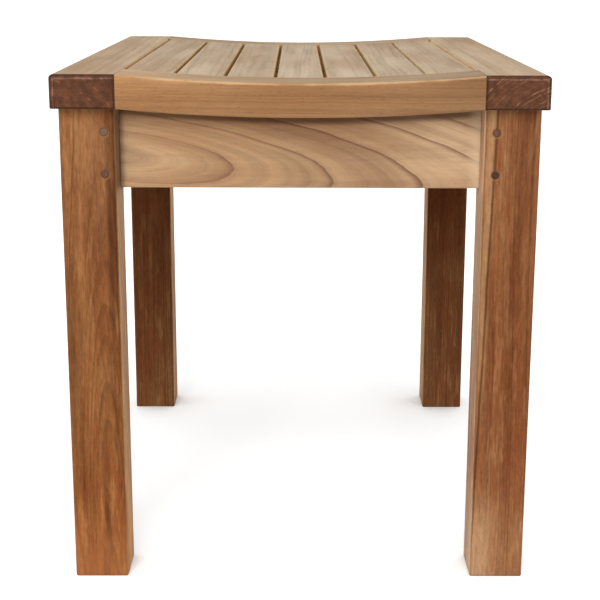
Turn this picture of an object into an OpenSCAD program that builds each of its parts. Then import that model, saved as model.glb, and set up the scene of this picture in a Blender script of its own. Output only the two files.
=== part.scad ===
// Shower bench of solid boards: four legs, four pegged aprons and a dished, slatted seat.
// The seat's long side runs along Y. The origin is on the floor under the middle of the seat.

/* [Seat] */
// Width of the seat across the dish, along X
seat_w = 420; // [340:5:520]
// Length of the seat along the slats, along Y
seat_l = 560; // [380:5:900]
// Height of the seat's flat stiles above the floor
seat_h = 457; // [300:1:560]
// Depth of the dish at the middle of the seat
dish = 7; // [3:0.5:16]

/* [Seat frame] */
// Thickness of the stiles and end rails
frame_t = 29; // [26:0.5:40]
// Amount that a stile reaches past the legs' inner faces
stile_past = 1.5; // [0.5:0.5:10]
// Width of the two end rails
rail_w = 55; // [40:1:80]
// Length of the end rails' tenons in the stiles
rail_tenon_l = 30; // [15:1:36]
// Thickness of the end rails' tenons
rail_tenon_t = 9; // [6:0.5:10]
// Depth of the end rails' tenons below the seat's top
rail_tenon_drop = 8; // [6:0.5:9]
// Shoulder at each edge of an end rail's tenon
rail_shoulder = 12; // [6:1:16]
// Wood left in a stile between a leg's stub and an end rail's tenon
stub_wood = 2; // [1:0.5:4]
// Radius of the stiles' outer upper edges and of the seat's corners
stile_round = 5; // [1:0.5:6]
// Radius of the upper edges at the ends of the seat
end_round = 3.5; // [1:0.5:4]
// Radius of the seat frame's lower edges
under_round = 2; // [0.5:0.5:4]

/* [Slats] */
// Number of slats
slats = 7; // [4:1:12]
// Gap between neighbouring slats, and between slat and stile
slat_gap = 3; // [2:0.5:8]
// Thickness of a slat
slat_t = 16; // [14:0.5:20]
// Radius of a slat's upper edges
slat_round = 2; // [0.5:0.5:3]
// Radius of a slat's lower edges
slat_under = 0.5; // [0.25:0.25:2]
// Length of a slat's tenon in the end rail
slat_tenon_l = 12; // [6:1:20]
// Thickness of a slat's tenon
slat_tenon_t = 8; // [5:0.5:10]
// Shoulder at each edge of a slat's tenon
slat_shoulder = 5; // [3:0.5:8]

/* [Centre rail] */
// Width of the rail under the slats
centre_w = 40; // [25:1:60]
// Thickness of the rail under the slats
centre_t = 20; // [18:1:26]
// Length of the centre rail's tenons in the stiles
centre_tenon_l = 25; // [12:1:36]
// Shoulder at each edge of a centre rail's tenon
centre_shoulder = 5; // [3:1:10]
// Shoulder above and below a centre rail's tenon, within the stile
centre_ledge = 2.5; // [1:0.5:4]

/* [Legs] */
// Side of a square leg
leg = 48; // [42:1:60]
// Overhang of the seat past the legs at the long sides
side_over = 5.5; // [0:0.5:9]
// Overhang of the seat past the legs at the ends
end_over = 12; // [0:0.5:20]
// Radius of a leg's upright edges
leg_round = 3.5; // [1:0.5:5]
// Radius of the edges around a foot
foot_round = 1.5; // [0.5:0.5:4]
// Side of the stub tenon on a leg's top
stub = 24; // [14:1:28]

/* [Aprons] */
// Height of an apron
apron_h = 72; // [60:1:110]
// Thickness of an apron
apron_t = 20; // [17:0.5:24]
// Step from a leg's inner face back to an apron's inner face
apron_step = 3; // [2.5:0.5:8]
// Radius of an apron's lower edges
apron_round = 1.5; // [0.5:0.5:4]
// Thickness of an apron's tenon
tenon_t = 8; // [6:0.5:9]
// Shoulder between an apron's outer face and its tenon
tenon_face = 1.5; // [0.5:0.5:3]
// Shoulder above an apron's tenon
tenon_top = 10; // [6:1:16]
// Shoulder below an apron's tenon
tenon_foot = 5; // [3:1:12]

/* [Pegs] */
// Diameter of a peg
peg_d = 6.5; // [4:0.5:8]
// Wood left beyond a peg's inner end
peg_stop = 5; // [2:0.5:8]
// Wood between a peg and the tenon of the next apron
peg_clear = 0.25; // [0.1:0.05:1]
// Distance from the edges of an end apron's tenon in to its pegs
peg_edge = 10.5; // [7:0.5:14]
// Amount that a peg stands out of the leg
peg_proud = 0.3; // [0:0.1:1]

/* [Corner blocks] */
// Length of a block along each apron
block_l = 46; // [36:1:70]
// Width of a block at the ends of its long face
block_end = 5; // [2:1:12]
// Height of a block
block_h = 30; // [20:1:40]
// Distance of a block's top below the apron's top
block_drop = 6; // [2:1:12]
// Wood left between a block screw's head and the apron
block_wood = 9; // [6:0.5:14]

/* [Screws] */
// Diameter of a screw's shank
screw_d = 4; // [3:0.5:5]
// Diameter of a screw's pan head
head_d = 8; // [6:0.5:9]
// Height of a screw's pan head
head_h = 2.5; // [1.5:0.5:3]
// Bite of a slat screw or block screw in the piece that it holds
bite = 10; // [6:0.5:12]
// Bite of a pocket screw in the stile
pocket_bite = 16; // [10:1:20]
// Tilt of the pocket screws in the side aprons
pocket_tilt = 15; // [12:1:18]
// Length of a pocket screw within the apron
pocket_run = 20; // [16:1:24]
// Distance of the pocket screws from the middle of the seat
pocket_y = 110; // [60:5:180]

/* [Fits] */
// Clearance on each side of a tenon in its mortise
tenon_fit = 0.15; // [0.05:0.05:0.4]
// Clearance beyond the end of a tenon
end_fit = 0.5; // [0.2:0.1:2]
// Clearance around a peg or screw in its hole
hole_fit = 0.05; // [0.05:0.05:0.3]
// Clearance around a screw's head in its counterbore
head_fit = 0.75; // [0.25:0.25:2]
// Clearance under the end rails and under the slats, where the wood below is cut to an arc
arc_fit = 0.2; // [0.05:0.05:0.5]

/* [Hidden] */
$fn = 64;
arc_fn = 720;
// Overlap that makes two shapes one piece
lap = 1;

half_w = seat_w / 2;
half_l = seat_l / 2;
stile_w = side_over + leg + stile_past;
half_span = half_w - stile_w;
frame_z = seat_h - frame_t;
stub_h = frame_t - rail_tenon_drop - rail_tenon_t - stub_wood;

// The dish is an arc about an axis parallel to Y, high above the seat.
dish_r = (half_span * half_span + dish * dish) / (2 * dish);
dish_z = seat_h - dish + dish_r;
arc_l = 2 * dish_r * asin(half_span / dish_r) * PI / 180;
slat_w = (arc_l - (slats + 1) * slat_gap) / slats;
slat_step = (slat_w + slat_gap) / dish_r * 180 / PI;
slat_l = seat_l - 2 * rail_w;

// The centre rail's top clears the lower edges of the slats, which are flat underneath.
centre_r = sqrt(pow(dish_r + slat_t, 2) + slat_w * slat_w / 4) + arc_fit;
centre_top = dish_z - sqrt(centre_r * centre_r - half_span * half_span);
centre_tenon_t = centre_top - frame_z - 2 * centre_ledge;
centre_tenon_z = centre_top - centre_ledge;

// Plan of a corner, measured inwards from the seat's outer corner.
leg_x = half_w - side_over;
leg_y = half_l - end_over;
setback = leg - apron_step - apron_t;
tenon_a = setback + tenon_face;
tenon_b = tenon_a + tenon_t;
tenon_h = apron_h - tenon_top - tenon_foot;
peg_at = tenon_b + peg_clear + peg_d / 2;
peg_l = leg - peg_stop;

// Depths of the pegs below the aprons' tops: those of the sides stand at the thirds, so that they pass.
peg_high = tenon_top + peg_edge;
peg_low = tenon_top + tenon_h - peg_edge;
end_pegs = [peg_high, peg_low];
side_pegs = [(2 * peg_high + peg_low) / 3, (peg_high + 2 * peg_low) / 3];

// The block screws stand clear of the block's long face. Each screw hole is a little wider than its screw.
block_x = -leg_x + setback + apron_t;
block_y = -leg_y + setback + apron_t;
block_screw_at = block_l + block_end - block_wood - 1.5 * head_d;
slat_screw_l = centre_r - dish_r - slat_t + centre_t - head_h + bite;
head_crown = 0.6 * head_h;
screw_free = screw_d / 2 + hole_fit;
head_free = head_d / 2 + head_fit;

teak_leg = "#93603c";
teak_seat = "#b8956c";
teak_apron = "#b98f69";
teak_dark = "#6d4733";
steel = "#b9bcc0";

// ---- helpers ----

// What a round of radius r takes off a corner at the origin, with the wood at its lower left.
module corner_waste(r) {
    difference() {
        translate([-r, -r]) square(r + lap);
        translate([-r, -r]) circle(r);
    }
}

// Rectangle from the origin, its corners rounded from the lower left one, anticlockwise.
module board_outline(w, h, r) {
    places = [[0, 0, 180], [w, 0, 270], [w, h, 0], [0, h, 90]];
    difference() {
        square([w, h]);
        for (i = [0:3]) {
            if (r[i] > 0) translate([places[i][0], places[i][1]]) rotate(places[i][2]) corner_waste(r[i]);
        }
    }
}

// Outline in X and Z, made l long along +Y.
module along_y(l) {
    translate([0, l, 0]) rotate([90, 0, 0]) linear_extrude(l) children();
}

// Outline in Y and Z, made l long along +X.
module along_x(l) {
    rotate([90, 0, 90]) linear_extrude(l) children();
}

// Everything inside the dish's arc, at a depth below its top, between two planes across Y.
module dish_bore(depth, y0, y1) {
    translate([0, y1, dish_z]) rotate([90, 0, 0]) cylinder(r = dish_r + depth, h = y1 - y0, $fn = arc_fn);
}

// Turns a piece about the dish's axis.
module round_the_dish(angle) {
    translate([0, 0, dish_z]) rotate([0, angle, 0]) translate([0, 0, -dish_z]) children();
}

// A cross rail between the stiles: a section turned about the dish's axis. The section is drawn
// with its distance from that axis along X and its distance towards the front along Y.
module arc_rail() {
    spread = asin(half_span / dish_r) + 1;
    intersection() {
        translate([0, 0, dish_z]) rotate([90, 0, 0]) rotate(-90 - spread)
            rotate_extrude(angle = 2 * spread, $fn = arc_fn) children();
        translate([-half_span, -seat_l, 0]) cube([2 * half_span, 2 * seat_l, seat_h + lap]);
    }
}

// Turns a slat made in the middle of the dish to its own place, counted from 0 at the left.
module slat_place(i) {
    round_the_dish(((slats - 1) / 2 - i) * slat_step) children();
}

// Tenons of a cross rail in both stiles, of a given length, middle in Y, width, top height and thickness.
module rail_tenons(l, y, w, top, t) {
    for (side = [-1, 1]) {
        translate([side * (half_span + (l - lap) / 2), y, top - t / 2]) cube([l + lap, w, t], center = true);
    }
}

// Moves a piece made in the front left corner to another one.
// The side is -1 for left or 1 for right, the end is -1 for front or 1 for rear.
module at_corner(side, end) {
    mirror([side > 0 ? 1 : 0, 0, 0]) mirror([0, end > 0 ? 1 : 0, 0]) children();
}

// Pan-headed screw along +Z, its head's seat at the origin and the head below it.
module screw(l) {
    rotate_extrude() {
        polygon([[0, -head_h / 2], [screw_d / 2, -head_h / 2], [screw_d / 2, l - screw_d], [0, l]]);
        translate([0, -head_h + head_crown]) square([head_d / 2, head_h - head_crown]);
        translate([0, -head_h]) square([head_d / 2 - head_crown, head_h]);
        translate([head_d / 2 - head_crown, -head_h + head_crown]) intersection() {
            circle(head_crown);
            translate([0, -head_crown]) square(head_crown);
        }
    }
}

// The hole for such a screw, with a counterbore of a given depth below the head's seat.
module screw_hole(l, bore_l) {
    cylinder(r = screw_free, h = l + end_fit);
    if (bore_l > 0) translate([0, 0, -bore_l]) cylinder(r = head_free, h = bore_l);
}

// ---- small pieces and their places ----

module peg() {
    translate([0, 0, -peg_proud]) cylinder(d = peg_d, h = peg_l + peg_proud);
}

module peg_hole() {
    cylinder(r = peg_d / 2 + hole_fit, h = peg_l + end_fit);
}

// Pegs of the end joints at one corner, driven along Y through the end apron's tenon.
module end_peg_places() {
    for (drop = end_pegs) {
        translate([-leg_x + peg_at, -leg_y, frame_z - drop]) rotate([-90, 0, 0]) children();
    }
}

// Pegs of the side joints at one corner, driven along X through the side apron's tenon.
module side_peg_places() {
    for (drop = side_pegs) {
        translate([-leg_x, -leg_y + peg_at, frame_z - drop]) rotate([0, 90, 0]) children();
    }
}

// Block screws at one corner: one along -Y into the end apron, one along -X into the side apron.
module block_screw_places() {
    z = frame_z - block_drop - block_h / 2;
    translate([block_x + block_screw_at, block_y + block_wood, z]) rotate([90, 0, 0]) children();
    translate([block_x + block_wood, block_y + block_screw_at, z]) rotate([0, -90, 0]) children();
}

// Pocket screws of the left side apron, leaning outwards as they rise into the stile.
module pocket_places() {
    for (y = [-pocket_y, pocket_y]) {
        translate([-leg_x + setback + apron_t / 2, y, frame_z])
            rotate([0, -pocket_tilt, 0]) translate([0, 0, -pocket_run]) children();
    }
}

// Slat screws, square to the dish, their heads let in flush with the centre rail's underside.
module slat_screw_places() {
    for (i = [0:slats - 1]) {
        slat_place(i) translate([0, 0, dish_z - centre_r - centre_t + head_h]) children();
    }
}

// ---- base ----

// Leg of the front left corner, as it stands.
module leg_piece() {
    difference() {
        union() {
            intersection() {
                translate([-leg_x, -leg_y, 0]) linear_extrude(frame_z)
                    board_outline(leg, leg, [leg_round, leg_round, leg_round, leg_round]);
                translate([-leg_x, -leg_y, 0]) along_y(leg)
                    board_outline(leg, frame_z, [foot_round, foot_round, 0, 0]);
                translate([-leg_x, -leg_y, 0]) along_x(leg)
                    board_outline(leg, frame_z, [foot_round, foot_round, 0, 0]);
            }
            translate([-leg_x + (leg - stub) / 2, -leg_y + (leg - stub) / 2, frame_z - lap])
                cube([stub, stub, stub_h + lap]);
        }
        mortise_pair();
        end_peg_places() peg_hole();
        side_peg_places() peg_hole();
    }
}

// The two apron mortises of a leg, which meet behind its outer corner.
module mortise_pair() {
    reach = leg - tenon_a + end_fit + lap;
    wide = tenon_t + 2 * tenon_fit;
    z = frame_z - tenon_top - tenon_h - tenon_fit;
    tall = tenon_h + 2 * tenon_fit;
    translate([-leg_x + tenon_a - end_fit, -leg_y + tenon_a - tenon_fit, z]) cube([reach, wide, tall]);
    translate([-leg_x + tenon_a - tenon_fit, -leg_y + tenon_a - end_fit, z]) cube([wide, reach, tall]);
}

// Tenon of an end apron at the front left corner, mitred where it meets the side apron's tenon.
module apron_tenon() {
    mitre = end_fit / 2;
    translate([-leg_x, -leg_y, frame_z - tenon_top - tenon_h]) linear_extrude(tenon_h)
        polygon([
            [leg + lap, tenon_a],
            [leg + lap, tenon_b],
            [tenon_b + mitre, tenon_b],
            [tenon_a + mitre, tenon_a]
        ]);
}

// Front apron: its upper edge follows the arc of the end rail above it.
module end_apron() {
    l = 2 * (leg_x - leg);
    difference() {
        union() {
            translate([-l / 2, -leg_y + setback, frame_z - apron_h]) along_x(l)
                board_outline(apron_t, apron_h, [apron_round, apron_round, 0, 0]);
            apron_tenon();
            mirror([1, 0, 0]) apron_tenon();
        }
        dish_bore(frame_t + arc_fit, -leg_y, -leg_y + leg);
        for (side = [-1, 1]) at_corner(side, -1) {
            end_peg_places() peg_hole();
            block_screw_places() screw_hole(block_wood + bite, head_h);
        }
    }
}

// Left apron, straight, with a pocket hole for each screw that holds the seat down.
module side_apron() {
    l = 2 * (leg_y - leg);
    difference() {
        union() {
            translate([-leg_x + setback, -l / 2, frame_z - apron_h]) along_y(l)
                board_outline(apron_t, apron_h, [apron_round, apron_round, 0, 0]);
            side_tenon();
            mirror([0, 1, 0]) side_tenon();
        }
        for (end = [-1, 1]) at_corner(-1, end) {
            side_peg_places() peg_hole();
            block_screw_places() screw_hole(block_wood + bite, head_h);
        }
        pocket_places() screw_hole(pocket_run + pocket_bite, apron_h);
    }
}

// The side apron's tenon is the end apron's, seen in the mitre.
module side_tenon() {
    translate([-leg_x, -leg_y, 0]) mirror([1, -1, 0]) translate([leg_x, leg_y, 0]) apron_tenon();
}

// Corner block of the front left corner, notched round the leg.
module corner_block() {
    difference() {
        translate([block_x, block_y, frame_z - block_drop - block_h]) linear_extrude(block_h)
            polygon([[0, 0], [block_l, 0], [block_l, block_end], [block_end, block_l], [0, block_l]]);
        translate([-leg_x, -leg_y, 0]) cube([leg, leg, seat_h]);
        block_screw_places() screw_hole(block_wood + bite, block_l);
    }
}

// ---- seat ----

// Left stile, with the mortises of three rails and two leg tops in it.
module stile() {
    difference() {
        intersection() {
            translate([-half_w, -half_l, frame_z]) along_y(seat_l)
                board_outline(stile_w, frame_t, [under_round, 0, 0, stile_round]);
            translate([-half_w, -half_l, frame_z]) along_x(stile_w)
                board_outline(seat_l, frame_t, [under_round, under_round, end_round, end_round]);
            translate([-half_w, -half_l, frame_z]) linear_extrude(frame_t)
                board_outline(stile_w, seat_l, [stile_round, 0, 0, stile_round]);
        }
        translate([-half_span, -slat_l / 2, seat_h]) along_y(slat_l) corner_waste(slat_round);
        for (end = [-1, 1]) at_corner(-1, end) {
            stub_mortise();
            translate([-half_span - rail_tenon_l - end_fit, -half_l + rail_shoulder - tenon_fit, 0])
                tenon_hole(rail_tenon_l, rail_w - 2 * rail_shoulder, seat_h - rail_tenon_drop, rail_tenon_t);
        }
        translate([-half_span - centre_tenon_l - end_fit, -centre_w / 2 + centre_shoulder - tenon_fit, 0])
            tenon_hole(centre_tenon_l, centre_w - 2 * centre_shoulder, centre_tenon_z, centre_tenon_t);
        pocket_places() screw_hole(pocket_run + pocket_bite, head_h);
    }
}

// Mortise for a tenon of a given length, width, top height and thickness, open towards +X.
module tenon_hole(l, w, top, t) {
    translate([0, 0, top - t - tenon_fit]) cube([l + end_fit + lap, w + 2 * tenon_fit, t + 2 * tenon_fit]);
}

// Mortise for the stub on the top of the front left leg.
module stub_mortise() {
    side = stub + 2 * tenon_fit;
    translate([-leg_x + (leg - side) / 2, -leg_y + (leg - side) / 2, frame_z - lap])
        cube([side, side, stub_h + end_fit + lap]);
}

// Front end rail: bent section, tenons at both ends, and a mortise for each slat.
module end_rail() {
    difference() {
        union() {
            arc_rail() translate([dish_r, half_l - rail_w])
                board_outline(frame_t, rail_w, [0, 0, under_round, end_round]);
            rail_tenons(rail_tenon_l, -half_l + rail_w / 2, rail_w - 2 * rail_shoulder,
                seat_h - rail_tenon_drop, rail_tenon_t);
        }
        for (i = [0:slats - 1]) slat_place(i) slat_tenon(tenon_fit, end_fit);
    }
}

// Centre rail, below the slats, bent like the end rails.
module centre_rail() {
    difference() {
        union() {
            arc_rail() translate([centre_r, -centre_w / 2])
                board_outline(centre_t, centre_w, [0, under_round, under_round, 0]);
            rail_tenons(centre_tenon_l, 0, centre_w - 2 * centre_shoulder, centre_tenon_z, centre_tenon_t);
        }
        slat_screw_places() screw_hole(slat_screw_l, head_h + lap);
    }
}

// Tenons at both ends of the middle slat, enlarged by a clearance at the sides and at the end.
module slat_tenon(side_fit, tip_fit) {
    w = slat_w - 2 * slat_shoulder + 2 * side_fit;
    l = slat_l + 2 * (slat_tenon_l + tip_fit);
    z = seat_h - dish - (slat_t + slat_tenon_t) / 2 - side_fit;
    translate([-w / 2, -l / 2, z]) cube([w, l, slat_tenon_t + 2 * side_fit]);
}

// A slat, counted from 1 at the left: dished on top, tenoned at its ends, with a pilot hole below.
module seat_slat(number) {
    top = dish_r - sqrt(dish_r * dish_r - slat_w * slat_w / 4);
    color(teak_seat) difference() {
        slat_place(number - 1) union() {
            difference() {
                translate([-slat_w / 2, -slat_l / 2, seat_h - dish - slat_t]) along_y(slat_l)
                    board_outline(slat_w, slat_t + top, [slat_under, slat_under, slat_round, slat_round]);
                dish_bore(0, -slat_l, slat_l);
            }
            slat_tenon(0, 0);
        }
        slat_screw_places() screw_hole(slat_screw_l, 0);
    }
}

// ---- nodes ----

module leg_front_left() { color(teak_leg) at_corner(-1, -1) leg_piece(); }
module leg_front_right() { color(teak_leg) at_corner(1, -1) leg_piece(); }
module leg_rear_left() { color(teak_leg) at_corner(-1, 1) leg_piece(); }
module leg_rear_right() { color(teak_leg) at_corner(1, 1) leg_piece(); }

module apron_front() { color(teak_apron) at_corner(-1, -1) end_apron(); }
module apron_rear() { color(teak_apron) at_corner(-1, 1) end_apron(); }
module apron_left() { color(teak_apron) at_corner(-1, -1) side_apron(); }
module apron_right() { color(teak_apron) at_corner(1, -1) side_apron(); }

module pegs_front() { color(teak_dark) for (side = [-1, 1]) at_corner(side, -1) end_peg_places() peg(); }
module pegs_rear() { color(teak_dark) for (side = [-1, 1]) at_corner(side, 1) end_peg_places() peg(); }
module pegs_left() { color(teak_dark) for (end = [-1, 1]) at_corner(-1, end) side_peg_places() peg(); }
module pegs_right() { color(teak_dark) for (end = [-1, 1]) at_corner(1, end) side_peg_places() peg(); }

module seat_stile_left() { color(teak_seat) at_corner(-1, -1) stile(); }
module seat_stile_right() { color(teak_seat) at_corner(1, -1) stile(); }
module seat_rail_front() { color(teak_seat) at_corner(-1, -1) end_rail(); }
module seat_rail_rear() { color(teak_seat) at_corner(-1, 1) end_rail(); }
module seat_rail_centre() { color(teak_seat) centre_rail(); }

module corner_block_front_left() { color(teak_leg) at_corner(-1, -1) corner_block(); }
module corner_block_front_right() { color(teak_leg) at_corner(1, -1) corner_block(); }
module corner_block_rear_left() { color(teak_leg) at_corner(-1, 1) corner_block(); }
module corner_block_rear_right() { color(teak_leg) at_corner(1, 1) corner_block(); }

module block_screws() {
    color(steel) for (side = [-1, 1], end = [-1, 1]) at_corner(side, end)
        block_screw_places() screw(block_wood + bite);
}
module pocket_screws() {
    color(steel) for (side = [-1, 1]) at_corner(side, -1) pocket_places() screw(pocket_run + pocket_bite);
}
module slat_screws() {
    color(steel) slat_screw_places() screw(slat_screw_l);
}

leg_front_left();
leg_front_right();
leg_rear_left();
leg_rear_right();
apron_front();
apron_rear();
apron_left();
apron_right();
pegs_front();
pegs_rear();
pegs_left();
pegs_right();
seat_stile_left();
seat_stile_right();
seat_rail_front();
seat_rail_rear();
seat_rail_centre();
for (i = [1:slats]) {
    seat_slat(i);
}
corner_block_front_left();
corner_block_front_right();
corner_block_rear_left();
corner_block_rear_right();
block_screws();
pocket_screws();
slat_screws();
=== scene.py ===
# Teak shower bench: studio, camera, a cut of teak for every board, driven pegs and screws.
import math
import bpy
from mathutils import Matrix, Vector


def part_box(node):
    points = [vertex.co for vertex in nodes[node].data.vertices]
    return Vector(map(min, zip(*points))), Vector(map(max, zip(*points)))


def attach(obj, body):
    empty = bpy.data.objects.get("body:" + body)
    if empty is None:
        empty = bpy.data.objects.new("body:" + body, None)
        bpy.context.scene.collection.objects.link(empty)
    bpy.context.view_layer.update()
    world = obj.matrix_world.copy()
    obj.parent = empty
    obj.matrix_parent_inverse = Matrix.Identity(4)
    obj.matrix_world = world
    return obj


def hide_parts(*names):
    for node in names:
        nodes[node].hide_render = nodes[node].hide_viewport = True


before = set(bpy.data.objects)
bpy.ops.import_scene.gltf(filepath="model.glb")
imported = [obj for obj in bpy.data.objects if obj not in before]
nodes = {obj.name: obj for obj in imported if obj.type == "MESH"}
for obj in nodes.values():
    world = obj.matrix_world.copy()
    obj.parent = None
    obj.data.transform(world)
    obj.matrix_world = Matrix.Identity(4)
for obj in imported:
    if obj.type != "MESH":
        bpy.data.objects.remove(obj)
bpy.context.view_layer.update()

from types import SimpleNamespace

import bpy
import numpy as np
from mathutils import Euler, Matrix, Vector

scene = bpy.context.scene
print("frame loaded:", len(nodes), "nodes")

# the dish is an arc about an axis parallel to Y, in metres
dish = {"radius": 1.719571, "axisHeight": 2.169571, "frameThick": 0.029, "slatThick": 0.016}

# a camera fitted to the bench's front end, place in metres, angles in degrees, shift in widths of the picture
cameraSetup = {
    "place": (-0.0029, -1.4295, 0.5527),
    "turn": 0.357,
    "down": 14.073,
    "roll": 0.223,
    "lens": 82.361,
    "shift": -0.008,
}


def makeCamera(setup):
    # looks along +Y, tipped down, turned and rolled a little
    data = bpy.data.cameras.new("photoCamera")
    data.lens, data.sensor_width, data.shift_x = setup["lens"], 36, setup["shift"]
    data.clip_start, data.clip_end = 0.05, 60
    camera = bpy.data.objects.new("photoCamera", data)
    scene.collection.objects.link(camera)
    aim = Euler((math.radians(90 - setup["down"]), 0, math.radians(-setup["turn"]))).to_matrix()
    camera.matrix_world = Matrix.Translation(setup["place"]) @ (
        aim @ Matrix.Rotation(math.radians(setup["roll"]), 3, "Z")).to_4x4()
    scene.camera = camera


makeCamera(cameraSetup)
print("camera set")


def linear(colour):
    # screen colour 0-255 to the linear colour that a shader takes
    part = np.array(colour[:3], float) / 255
    part = np.where(part <= 0.04045, part / 12.92, ((part + 0.055) / 1.055) ** 2.4)
    return (*part.tolist(), 1.0)


class Recipe:
    # one material's node tree, with a short call for each kind of node used below
    def __init__(self, name):
        self.material = bpy.data.materials.new(name)
        self.material.use_nodes = True
        self.tree = self.material.node_tree
        self.tree.nodes.clear()

    def join(self, value, socket):
        if isinstance(value, bpy.types.NodeSocket):
            self.tree.links.new(value, socket)
        else:
            socket.default_value = value

    def put(self, kind, values=None, **settings):
        node = self.tree.nodes.new(kind)
        for key, setting in settings.items():
            setattr(node, key, setting)
        for key, value in (values or {}).items():
            self.join(value, node.inputs[key])
        return node

    def calc(self, operation, *values, clamp=False):
        node = self.put("ShaderNodeMath", dict(enumerate(values)), operation=operation, use_clamp=clamp)
        return node.outputs[0]

    def vec(self, operation, *values):
        node = self.put("ShaderNodeVectorMath", dict(enumerate(values)), operation=operation)
        return node.outputs["Value" if operation == "LENGTH" else "Vector"]

    def ease(self, value, low, high, start=0.0, end=1.0):
        # goes smoothly from start to end while value goes from low to high
        node = self.put("ShaderNodeMapRange", {0: value, 1: low, 2: high, 3: start, 4: end},
                        interpolation_type="SMOOTHSTEP")
        return node.outputs[0]

    def noise(self, vector, detail=2.0, rough=0.5, output=0):
        node = self.put("ShaderNodeTexNoise",
                        {"Vector": vector, "Scale": 1.0, "Detail": detail, "Roughness": rough})
        return node.outputs[output]

    def mix(self, amount, one, two):
        node = self.put("ShaderNodeMix", {0: amount, 6: one, 7: two}, data_type="RGBA")
        return node.outputs[2]

    def combine(self, x, y, z):
        return self.put("ShaderNodeCombineXYZ", {0: x, 1: y, 2: z}).outputs[0]

    def split(self, vector):
        return self.put("ShaderNodeSeparateXYZ", {0: vector}).outputs

    def cells(self, vector):
        # distance to the middle of the nearest cell
        return self.put("ShaderNodeTexVoronoi", {"Vector": vector, "Scale": 1.0}).outputs[0]

    def product(self, value, *factors):
        for factor in factors:
            value = self.calc("MULTIPLY", value, factor)
        return value

    def swing(self, noise, amount, middle=0.0):
        # noise from 0 to 1 becomes a swing of that amount in all, half of it each way about the middle
        return self.calc("MULTIPLY_ADD", noise, amount, middle - 0.5 * amount)

    def finish(self, colour, rough, height, depth, **fixed):
        bump = self.put("ShaderNodeBump", {"Strength": 1.0, "Distance": depth, "Height": height})
        shader = self.put("ShaderNodeBsdfPrincipled",
                          {"Base Color": colour, "Roughness": rough, "Normal": bump.outputs[0]})
        for key, value in fixed.items():
            shader.inputs[key.replace("_", " ")].default_value = value
        self.tree.links.new(shader.outputs[0], self.put("ShaderNodeOutputMaterial").inputs[0])
        return self.material


# where the boards meet and the pegs sit in the CAD, in metres from the bench's middle line and the floor
joinery = {
    "legTop": 0.428, "legFaceX": 0.2045, "legFaceY": 0.268,
    "apronEndX": 0.1565, "apronEndY": 0.220, "railEnd": 0.155, "slatEnd": 0.225,
    "pegX": 0.1665, "pegY": 0.230, "endPegs": (0.4075, 0.3715), "sidePegs": (0.3955, 0.3835),
}

grainOrder = {"x": (1, 2, 0), "y": (0, 2, 1), "z": (0, 1, 2)}  # across, across, along

# what all the teak shares, lengths in metres
teak = {
    "seed": 1.0, "turn": 0.0, "rough": 0.52, "shine": 0.06, "relief": 0.00022,
    "ring": 0.0026, "phase": 0.0, "uneven": 1.6, "every": 0, "sharp": 1.0, "lean": (0.0, 0.0),
    "warp": 0.0035, "wander": 0.0012,
    "lineDepth": 0.55, "toneDepth": 0.25, "bandDepth": 0.30, "fibreDepth": 0.16, "poreDepth": 0.45,
    "fibreRun": 45, "strand": 0.08, "strandRun": 52, "lace": 0.0, "blotch": 0.0, "drift": (0.0, 0.0, 0.0),
    # the last of these is the least level of the rear legs' painted shade
    "wear": 0.30, "wearReach": 0.0016, "paintedForeShadeLeast": (0.31, 0.26, 0.22),
    "endDark": (92, 56, 38), "endLight": (150, 108, 82), "endRing": 0.5, "endWear": 0.2,
    "endFrom": (0.55, 0.93), "endLine": 0.32, "endBroken": (0.45, 0.6),
    # the second of these colours is the dark of the painted shadow under the seat's rail
    "jointDirt": (38, 20, 12), "paintedRailShadow": (58, 28, 10), "pegGlue": (40, 22, 14),
}

# the rubbed rim of a peg hole: radii in metres, and how far the painted highlight crescent is moved aside,
# onto the rim's lower side
pegRim = {"edge": 0.0033, "dip": 0.0044, "glue": 0.0038, "paintedCrescent": (0.0037, 0.0050),
          "aside": (-0.0005, -0.0005, 0.0006), "sunk": 2.6}


def layBoard(r, wood):
    # A place on the board is measured from its middle, as across, across and along. A slat is first turned
    # back about the dish's axis. Seeded places are moved by the board's own number, so that no two boards
    # are alike.
    place = r.put("ShaderNodeTexCoord").outputs
    lowest, highest = np.array(wood["low"]), np.array(wood["high"])
    centre, half = ((lowest + highest) / 2).tolist(), ((highest - lowest) / 2).tolist()
    turned = place["Object"]
    if wood["turn"]:
        axis = Vector((0, 0, dish["axisHeight"]))
        back = Matrix.Rotation(-wood["turn"], 3, "Y")
        turned = r.put("ShaderNodeMapping", {"Vector": turned, "Location": axis - back @ axis,
                                             "Rotation": (0, -wood["turn"], 0)}).outputs[0]
    xyz = r.split(r.vec("SUBTRACT", turned, tuple(centre)))
    across, thick, along = (xyz[i] for i in grainOrder[wood["grain"]])
    cut = r.combine(across, thick, along)
    seed = wood["seed"]
    return SimpleNamespace(
        centre=centre, half=half, object=place["Object"], turned=turned, xyz=xyz, along=along, cut=cut,
        alongs=r.combine(along, along, along), seeded=r.vec("ADD", cut, (seed * 1.7, seed * 0.9, seed * 2.3)),
        normal=r.split(place["Normal"]), facing=r.split(r.vec("ABSOLUTE", place["Normal"])))


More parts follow.
